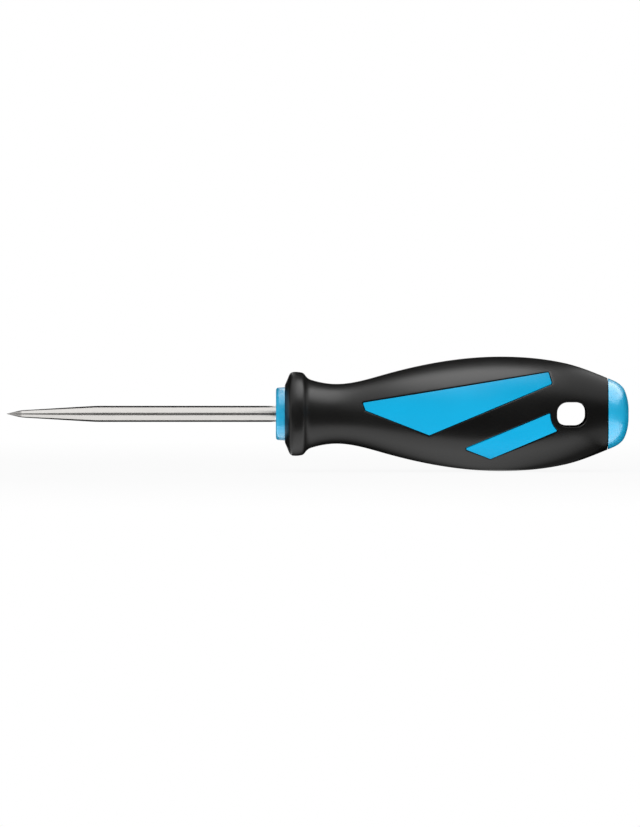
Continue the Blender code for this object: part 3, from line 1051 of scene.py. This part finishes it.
def make_core(sizes, material):
    """The hard core: the collar in front of the grip, and the bed under it."""
    skin = Skin(grip_outline(sizes))
    seam = sizes.seam / MM
    collar = sizes.collar_diameter / MM / 2
    bore = sizes.shank_diameter / MM / 2 + seam / 2
    bore_end = TANG_LENGTH + seam
    front = collar - COLLAR_DRAFT
    step = GRIP_FRONT + BED_STEP + seam
    bed = np.linspace(step, GRIP_REAR, BED_POINTS)
    rim = ((BORE_RIM, bore), (0.0, bore), (0.0, bore + BORE_RIM))
    edge = ((0.0, front - COLLAR_EDGE), (0.0, front), (COLLAR_EDGE, front))
    socket = SPIGOT_DIAMETER / 2 + seam
    socket_floor = GRIP_REAR - SPIGOT_LENGTH - seam
    outline = [
        (bore_end, 0.0),
        (bore_end, bore - TANG_BEVEL),
        (TANG_LENGTH - TANG_BEVEL, bore),
        rim[0],
        *rounded_step(*rim, SMALL_STEPS),
        edge[0],
        *rounded_step(*edge, COLLAR_EDGE_STEPS),
        *straight_run(edge[-1], (GRIP_FRONT, collar), SMALL_STEPS),
        (step, collar),
        *((along, skin.radius_at(along) - GRIP_WALL - seam) for along in bed),
        (GRIP_REAR, socket),
        (socket_floor, socket),
        (socket_floor, 0.0),
    ]
    core = turned("collar_and_core", outline, CORE_SIDES, material)
    reach = sizes.belly_diameter / MM
    return cut(core, prism("core_hole", hole_outline(HOLE_LINING + seam), -reach, reach))


def make_cap(sizes, material):
    """The hard butt cap: a flank that carries on the grip's outline, a shoulder and a dome."""
    seam = sizes.seam / MM
    start = GRIP_REAR + seam
    edge = sizes.inlay_edge / MM
    rim = (start, REAR_DIAMETER / 2 + REAR_SLOPE * seam)
    shoulder = (GRIP_REAR + CAP_FLANK_START + CAP_FLANK_LENGTH, CAP_SHOULDER_DIAMETER / 2)
    flat = (BUTT, BUTT_FLAT_DIAMETER / 2)
    dome = BUTT - shoulder[0]
    leave = (shoulder[0] + dome / 2, shoulder[1] + CAP_SHOULDER_SLOPE * dome / 2)
    arrive = (BUTT, flat[1] + (shoulder[1] - flat[1]) / 3)
    flank_steps, dome_steps = CAP_STEPS
    flank = smooth_run(rim, REAR_SLOPE, shoulder, CAP_SHOULDER_SLOPE, flank_steps)
    under_rim = (start, rim[1] - edge)
    after_rim = (start + edge, rim[1] + REAR_SLOPE * edge)
    spigot = SPIGOT_DIAMETER / 2
    outline = [
        (start - SPIGOT_LENGTH, 0.0),
        (start - SPIGOT_LENGTH, spigot - SPIGOT_BEVEL),
        (start - SPIGOT_LENGTH + SPIGOT_BEVEL, spigot),
        (start, spigot),
        *straight_run((start, spigot), under_rim, SMALL_STEPS),
        *rounded_step(under_rim, rim, after_rim, SMALL_STEPS),
        *(point for point in flank if point[0] > start + edge * CAP_RIM_REACH),
        *curved_run(shoulder, leave, arrive, flat, dome_steps),
        (BUTT, 0.0),
    ]
    return turned("butt", outline, sizes.sides, material)


def new_material(name, colour, roughness, **values):
    """A Principled material, its even values set on the shader's own sockets."""
    material = bpy.data.materials.new(name)
    material.use_nodes = True
    shader = material.node_tree.nodes["Principled BSDF"]
    shader.inputs["Base Color"].default_value = (*colour, 1.0)
    shader.inputs["Roughness"].default_value = roughness
    for socket, value in values.items():
        shader.inputs[socket.replace("_", " ")].default_value = value
    return material, Nodes(material.node_tree), shader


def link(nodes, source, shader, socket):
    nodes.tree.links.new(source, shader.inputs[socket])


def noise(nodes, place, scale, detail=2.0, roughness=0.5):
    """A noise with this many cycles in a metre."""
    inputs = {"Vector": place, "Scale": scale, "Detail": detail, "Roughness": roughness}
    return nodes.add("ShaderNodeTexNoise", inputs).outputs["Fac"]


def mapped(nodes, value, start=0.0, end=1.0, low=0.0, high=1.0):
    """The value's range from start to end spread over low to high."""
    inputs = {"Value": value, 1: start, 2: end, 3: low, 4: high}
    return nodes.add("ShaderNodeMapRange", inputs).outputs[0]


def mixed(nodes, share, first, second):
    """The first value where the share is 0, and the second where it is 1."""
    inputs = {0: share, 2: first, 3: second}
    return nodes.add("ShaderNodeMix", inputs, data_type="FLOAT").outputs[0]


def bumped(nodes, shader, height, distance, strength):
    inputs = {"Height": height, "Distance": distance, "Strength": strength}
    link(nodes, nodes.add("ShaderNodeBump", inputs).outputs[0], shader, "Normal")


def tinted(nodes, value, colour, darker, lighter):
    """A colour that varies from darker to lighter with the value."""
    ramp = nodes.add("ShaderNodeValToRGB", {"Fac": value})
    ends = ramp.color_ramp.elements
    ends[0].position, ends[1].position = NOISE_MIDDLE
    ends[0].color = (*(c * darker for c in colour), 1.0)
    ends[1].color = (*(c * lighter for c in colour), 1.0)
    return ramp.outputs["Color"]


def varied(nodes, shader, value, colour, shades, roughness):
    """A colour and a roughness that vary with a noise's value."""
    link(nodes, tinted(nodes, value, colour, *shades), shader, "Base Color")
    link(nodes, mapped(nodes, value, *NOISE_MIDDLE, *roughness), shader, "Roughness")


def object_place(nodes):
    return nodes.add("ShaderNodeTexCoord").outputs["Object"]


def soft_black(finish):
    """Matte elastomer: fine moulded grain, and a faint handling sheen that comes and goes."""
    material, nodes, shader = new_material(
        "soft_black_elastomer", finish.grip_colour, roughness=0.38, Specular_IOR_Level=0.36
    )
    place = object_place(nodes)
    grain = noise(nodes, place, 1.0 / finish.grip_grain, detail=3.0, roughness=0.6)
    cloud = noise(nodes, place, GRIP_CLOUDS, detail=3.0)
    varied(nodes, shader, cloud, finish.grip_colour, GRIP_SHADES, GRIP_ROUGHNESS)
    bumped(nodes, shader, grain, finish.grip_grain_depth, strength=0.5)
    return material


def panel_blue(finish):
    """Smooth inlay plastic with a low sheen and a very fine grain."""
    material, nodes, shader = new_material(
        "inlay_blue", finish.panel_colour, roughness=0.33, Specular_IOR_Level=0.12
    )
    place = object_place(nodes)
    cloud = noise(nodes, place, PANEL_CLOUDS)
    varied(nodes, shader, cloud, finish.panel_colour, PANEL_SHADES, PANEL_ROUGHNESS)
    bumped(nodes, shader, noise(nodes, place, PANEL_GRAIN), PANEL_GRAIN_DEPTH, strength=0.4)
    return material


def hard_blue(finish):
    """Glossy moulded plastic with the slight waviness of a cooled surface."""
    material, nodes, shader = new_material(
        "hard_blue_plastic", finish.hard_colour, roughness=0.28, Specular_IOR_Level=0.4
    )
    wave = noise(nodes, object_place(nodes), HARD_WAVES)
    varied(nodes, shader, wave, finish.hard_colour, HARD_SHADES, HARD_ROUGHNESS)
    bumped(nodes, shader, wave, HARD_WAVE_DEPTH, strength=0.3)
    return material


def steel(finish, point_end, taper_end):
    """Satin steel: drawn lines along the shank, grinding rings round the taper, a dull point."""
    material, nodes, shader = new_material(
        "satin_steel", finish.steel_colour, roughness=0.2, Metallic=1.0
    )
    place = object_place(nodes)
    drawn, ground = (
        nodes.add("ShaderNodeMapping", {"Vector": place, "Scale": scale}).outputs[0]
        for scale in (STEEL_LINES, STEEL_RINGS)
    )
    lines, rings = (noise(nodes, pattern, scale=1.0) for pattern in (drawn, ground))
    along = nodes.add("ShaderNodeSeparateXYZ", {0: place}).outputs["X"]
    on_shank = mapped(nodes, along, taper_end - TAPER_FADE, taper_end + TAPER_FADE)
    marks = mixed(nodes, on_shank, rings, lines)
    cloud = noise(nodes, place, STEEL_CLOUDS, detail=3.0)
    worn = mixed(nodes, STEEL_CLOUD_SHARE, marks, cloud)
    off_point = mapped(nodes, along, point_end - POINT_FADE, point_end + POINT_FADE)
    shine = mapped(nodes, worn, *NOISE_MIDDLE, *STEEL_ROUGHNESS)
    link(nodes, mixed(nodes, off_point, POINT_ROUGHNESS, shine), shader, "Roughness")
    plated = tinted(nodes, worn, finish.steel_colour, *STEEL_SHADES)
    bare = tinted(nodes, worn, finish.steel_colour, *POINT_SHADES)
    inputs = {0: off_point, 6: bare, 7: plated}
    colour = nodes.add("ShaderNodeMix", inputs, data_type="RGBA").outputs[2]
    link(nodes, colour, shader, "Base Color")
    bumped(nodes, shader, marks, STEEL_MARK_DEPTH, strength=0.5)
    return material


class AWL_OT_blade(bpy.types.Operator):
    """Make the blade"""

    bl_idname = "awl.blade"
    bl_label = "Blade"

    def execute(self, context):
        sizes = context.scene.awl_sizes
        point_end = COLLAR_FACE_X - BLADE_LENGTH * MM + sizes.point_length
        taper_end = point_end + sizes.taper_length
        blade = make_blade(sizes, steel(context.scene.awl_finish, point_end, taper_end))
        stand_in(blade, "blade")
        return {"FINISHED"}


class AWL_OT_core(bpy.types.Operator):
    """Make the hard core with its collar"""

    bl_idname = "awl.core"
    bl_label = "Core and collar"

    def execute(self, context):
        core = make_core(context.scene.awl_sizes, hard_blue(context.scene.awl_finish))
        stand_in(core, "handle_core")
        return {"FINISHED"}


class AWL_OT_grip(bpy.types.Operator):
    """Make the soft grip"""

    bl_idname = "awl.grip"
    bl_label = "Soft grip"

    def execute(self, context):
        grip = make_grip(context.scene.awl_sizes, soft_black(context.scene.awl_finish))
        stand_in(grip, "soft_grip")
        return {"FINISHED"}


class AWL_OT_inlays(bpy.types.Operator):
    """Make the four inlay panels"""

    bl_idname = "awl.inlays"
    bl_label = "Inlays"

    def execute(self, context):
        sizes = context.scene.awl_sizes
        skin = Skin(grip_outline(sizes))
        material = panel_blue(context.scene.awl_finish)
        for level, outline in zip(("upper", "lower"), panel_outlines(sizes)):
            near = [skin.place(*point) for point in outline]
            for side, loop in (("near", near), ("far", half_turned(near))):
                inlay = make_inlay(f"panel_{level}_{side}", skin, sizes, loop, material)
                stand_in(inlay, f"inlay_{level}_{side}")
        return {"FINISHED"}


class AWL_OT_butt(bpy.types.Operator):
    """Make the butt cap"""

    bl_idname = "awl.butt"
    bl_label = "Butt cap"

    def execute(self, context):
        scene = context.scene
        material = bpy.data.materials.get("hard_blue_plastic") or hard_blue(scene.awl_finish)
        stand_in(make_cap(scene.awl_sizes, material), "butt_cap")
        return {"FINISHED"}


class AWL_OT_stage(bpy.types.Operator):
    """Make the floor, the lamps, the world and the camera"""

    bl_idname = "awl.stage"
    bl_label = "Stage"

    def execute(self, context):
        stage = context.scene.awl_stage
        floor = -context.scene.awl_sizes.belly_diameter / 2
        make_floor(floor)
        make_world(stage)
        make_lamps(stage, floor)
        make_cards(floor)
        make_camera(stage)
        context.scene.view_settings.view_transform = "Standard"
        return {"FINISHED"}


def sheet(name, corners, material):
    mesh = bpy.data.meshes.new(name)
    mesh.from_pydata(corners, [], [(0, 1, 2, 3)])
    mesh.materials.append(material)
    obj = new_object(name, mesh)
    return obj


def hide_from(obj, *rays):
    """Keeps an object of the stage out of what these kinds of rays meet."""
    for ray in rays:
        setattr(obj, f"visible_{ray}", False)


def seen_directly(nodes):
    """1 for a ray that shows the background: from the camera, off gloss or through glass."""
    rays = nodes.add("ShaderNodeLightPath").outputs
    first = nodes.math("MAXIMUM", rays["Is Camera Ray"], rays["Is Glossy Ray"])
    return nodes.math("MAXIMUM", first, rays["Is Transmission Ray"])


def make_floor(height):
    """A plain pale floor that looks white where no shadow falls on it."""
    material, nodes, shader = new_material(
        "pale_floor", FLOOR_COLOUR, roughness=0.9, Specular_IOR_Level=0.0
    )
    glow = nodes.add("ShaderNodeEmission", {"Color": WHITE, "Strength": 1.0})
    distance = nodes.add("ShaderNodeVectorMath", {0: object_place(nodes)}, operation="LENGTH")
    whiteness = mapped(nodes, distance.outputs["Value"], *FLOOR_FADE, *FLOOR_WHITENESS)
    share = nodes.math("MULTIPLY", seen_directly(nodes), whiteness)
    looks = {0: share, 1: shader.outputs[0], 2: glow.outputs[0]}
    surface = nodes.add("ShaderNodeMixShader", looks).outputs[0]
    link(nodes, surface, nodes.tree.nodes["Material Output"], "Surface")
    square = flat_on(height, -FLOOR_REACH, FLOOR_REACH, -FLOOR_REACH, FLOOR_REACH)
    sheet("floor", square, material)


def make_world(stage):
    world = bpy.data.worlds.new("studio")
    bpy.context.scene.world = world
    world.use_nodes = True
    nodes = Nodes(world.node_tree)
    background = world.node_tree.nodes["Background"]
    background.inputs["Color"].default_value = WHITE
    level = mapped(nodes, seen_directly(nodes), low=stage.sky_level)
    link(nodes, level, background, "Strength")


def add_lamp(name, place, aim, width, depth, level):
    """A soft box that points at the aim, with its brightness as a white surface would show it."""
    lamp = bpy.data.lights.new(name, "AREA")
    lamp.shape = "RECTANGLE"
    lamp.size = width
    lamp.size_y = depth
    lamp.energy = level * math.pi * width * depth
    obj = new_object(name, lamp)
    obj.location = place
    obj.rotation_euler = (Vector(aim) - Vector(place)).to_track_quat("-Z", "Y").to_euler()
    hide_from(obj, "camera")
    return obj


def flat_lamp(name, spans, height, level, upwards=False):
    """A flat lamp over these spans of X and Y that shines down, or up."""
    (start, end), (front, back) = spans
    place = Vector(((start + end) / 2, (front + back) / 2, height))
    aim = place + Vector((0.0, 0.0, 1.0 if upwards else -1.0))
    return add_lamp(name, place, aim, end - start, back - front, level)


def glowing(name, level=1.0):
    """A black material that reflects nothing and glows white at this level."""
    return new_material(
        name, BLACK, roughness=1.0, Specular_IOR_Level=0.0,
        Emission_Color=WHITE, Emission_Strength=level,
    )


def bounce_sheet(height, level):
    """A glowing sheet on the table. It fades towards the tool, and so does the lower highlight."""
    material, nodes, shader = glowing("bounce")
    place = nodes.add("ShaderNodeSeparateXYZ", {0: object_place(nodes)}).outputs
    depth = nodes.math("MULTIPLY_ADD", place["X"], BOUNCE_SLANT, place["Y"])
    glow = mapped(nodes, depth, *BOUNCE_FADE, level, BOUNCE_FAR_SHARE * level)
    link(nodes, glow, shader, "Emission Strength")
    bounce = sheet("bounce_sheet", flat_on(height, *BOUNCE_SPAN[0], *BOUNCE_SPAN[1]), material)
    hide_from(bounce, "camera", "shadow")
    return bounce


def highlight(lamp, pieces):
    """Lets a lamp give highlights to these pieces, and nothing else."""
    hide_from(lamp, "diffuse", "transmission")
    lit = bpy.data.collections.new(f"lit by {lamp.name}")
    for piece in pieces:
        lit.objects.link(bpy.data.objects[piece])
    lamp.light_linking.receiver_collection = lit


def make_lamps(stage, floor):
    """Two plain lamps that give no highlights, and flat ones that give nothing else."""
    place = Vector(KEY_PLACE)
    brightness = stage.key_level * math.pi * (place.length / KEY_SIZE) ** 2
    key = add_lamp("key_box", place, (0.0, 0.0, 0.0), KEY_SIZE, KEY_SIZE, brightness)
    low = floor + CARD_LIFT
    fill = flat_lamp("fill_table", FILL_SPAN, low, stage.fill_level, upwards=True)
    for lamp in (key, fill):
        hide_from(lamp, "glossy")
    sheen, gloss = stage.sheen_level, stage.gloss_level
    for name, spans, share in (
        ("sheen_strip", SHEEN_SPAN, SHEEN_SHARE),
        ("wide_sheen", WIDE_SHEEN_SPAN, WIDE_SHEEN_SHARE),
    ):
        highlight(flat_lamp(name, spans, SHEEN_HEIGHT, sheen * share), SOFT_PIECES)
    highlight(bounce_sheet(low, stage.bounce_level), SOFT_PIECES)
    highlight(flat_lamp("gloss_top", GLOSS_TOP_SPAN, GLOSS_TOP_HEIGHT, gloss), HARD_PIECES)
    for name, spans, height, share, piece in (
        ("collar_gloss", COLLAR_GLOSS_SPAN, low, COLLAR_GLOSS_SHARE, HARD_PIECES[0]),
        ("butt_gloss", BUTT_GLOSS_SPAN, low + CARD_LIFT, BUTT_GLOSS_SHARE, HARD_PIECES[1]),
    ):
        highlight(flat_lamp(name, spans, height, gloss * share, upwards=True), (piece,))


def upright(start, end, y, low, high):
    """The corners of a card that stands along the tool."""
    return [(start, y, low), (end, y, low), (end, y, high), (start, y, high)]


def endways(x, front, back, low, high):
    """The corners of a card that stands across the tool."""
    return [(x, front, low), (x, back, low), (x, back, high), (x, front, high)]


def flat_on(z, start, end, front, back):
    """The corners of a sheet that lies at this height."""
    return [(start, front, z), (end, front, z), (end, back, z), (start, back, z)]


def make_cards(floor):
    """Dark cards that only reflections show, set up to shape bright metal and gloss."""
    low = floor + CARD_LIFT
    front, back = BOUNCE_SPAN[1]
    reach, far, near = COLLAR_CARD_REACH, BUTT_CARD_DISTANCE, -CARD_DISTANCE
    butt_lamp_end, butt_lamp_back = BUTT_GLOSS_SPAN[0][1], BUTT_GLOSS_SPAN[1][1]
    rear_of_blade = BLADE_UNDER_CARD[1]
    black_cards = {
        "front_card": upright(HANDLE_START, CARD_REACH, near, low, FRONT_CARD_TOP),
        "front_floor_card": flat_on(low, HANDLE_START, CARD_REACH, near, front),
        "back_card": upright(GRIP_START, GRIP_END, GRIP_CARD_DISTANCE, low, GRIP_CARD_TOP),
        "back_floor_card": flat_on(low, GRIP_START, GRIP_END, back, GRIP_CARD_DISTANCE),
        "collar_card": upright(BLADE_END, GRIP_START, -COLLAR_CARD_DISTANCE, -reach, reach),
        "butt_card": upright(BUTT_CARD_START, CARD_REACH, far, low, BUTT_CARD_TOP),
        "tail_floor_card": flat_on(low, BOUNCE_SPAN[0][1], TAIL_CARD_END, front, back),
        "butt_back_floor_card": flat_on(low, GRIP_END, butt_lamp_end, butt_lamp_back, far),
        "butt_floor_card": flat_on(low, butt_lamp_end, CARD_REACH, near, far),
        "end_card": endways(END_CARD_PLACE, near, far, low, END_CARD_TOP),
        "blade_under_card": flat_on(low, -CARD_REACH, HANDLE_START, *BLADE_UNDER_CARD),
        "blade_rear_card": upright(
            -CARD_REACH, BLADE_END, rear_of_blade, REAR_GAP[1], OUTLINE_CARD_TOP
        ),
        "blade_rear_low_card": upright(-CARD_REACH, BLADE_END, rear_of_blade, low, REAR_GAP[0]),
    }
    grey_cards = {
        "blade_front_card": upright(-CARD_REACH, HANDLE_START, near, low, BLADE_CARD_TOP),
        "blade_front_floor_card": flat_on(
            low, -CARD_REACH, HANDLE_START, near, BLADE_FLOOR_CARD_END
        ),
    }
    for cards, (colour, grey) in zip((black_cards, grey_cards), CARD_GREYS.items()):
        material = glowing(colour, grey)[0]
        for name, corners in cards.items():
            hide_from(sheet(name, corners, material), "camera", "diffuse", "shadow", "transmission")


def make_camera(stage):
    camera = new_object("camera", bpy.data.cameras.new("camera"))
    camera.data.lens = stage.lens
    camera.data.sensor_width = CAMERA_SENSOR
    camera.data.clip_end = CAMERA_CLIP
    aim = Vector((stage.camera_x, 0.0, AIM_HEIGHT))
    back = Vector((0.0, -math.cos(stage.elevation), math.sin(stage.elevation)))
    camera.location = aim + back * stage.distance
    camera.rotation_euler = (-back).to_track_quat("-Z", "Y").to_euler()
    bpy.context.scene.camera = camera


STEPS = (AWL_OT_blade, AWL_OT_core, AWL_OT_grip, AWL_OT_inlays, AWL_OT_butt, AWL_OT_stage)


class AWL_PT_pieces(bpy.types.Panel):
    """Lists the pieces and their sizes"""

    bl_idname = "AWL_PT_pieces"
    bl_label = "Awl"
    bl_space_type = "VIEW_3D"
    bl_region_type = "UI"
    bl_category = "Awl"

    def draw(self, context):
        scene = context.scene
        for group in (scene.awl_sizes, scene.awl_finish, scene.awl_stage):
            box = self.layout.box()
            for name in group.bl_rna.properties.keys():
                if name not in ("rna_type", "name"):
                    box.prop(group, name)
        for step in STEPS:
            self.layout.operator(step.bl_idname)


CLASSES = (AwlSizes, AwlFinish, AwlStage, *STEPS, AWL_PT_pieces)


def register():
    for part in CLASSES:
        bpy.utils.register_class(part)
    bpy.types.Scene.awl_sizes = PointerProperty(type=AwlSizes)
    bpy.types.Scene.awl_finish = PointerProperty(type=AwlFinish)
    bpy.types.Scene.awl_stage = PointerProperty(type=AwlStage)


def unregister():
    del bpy.types.Scene.awl_sizes, bpy.types.Scene.awl_finish, bpy.types.Scene.awl_stage
    for part in reversed(CLASSES):
        bpy.utils.unregister_class(part)


def main():
    register()
    bpy.ops.awl.blade()
    bpy.ops.awl.core()
    bpy.ops.awl.grip()
    bpy.ops.awl.inlays()
    bpy.ops.awl.butt()
    bpy.ops.awl.stage()


if __name__ == "__main__":
    main()
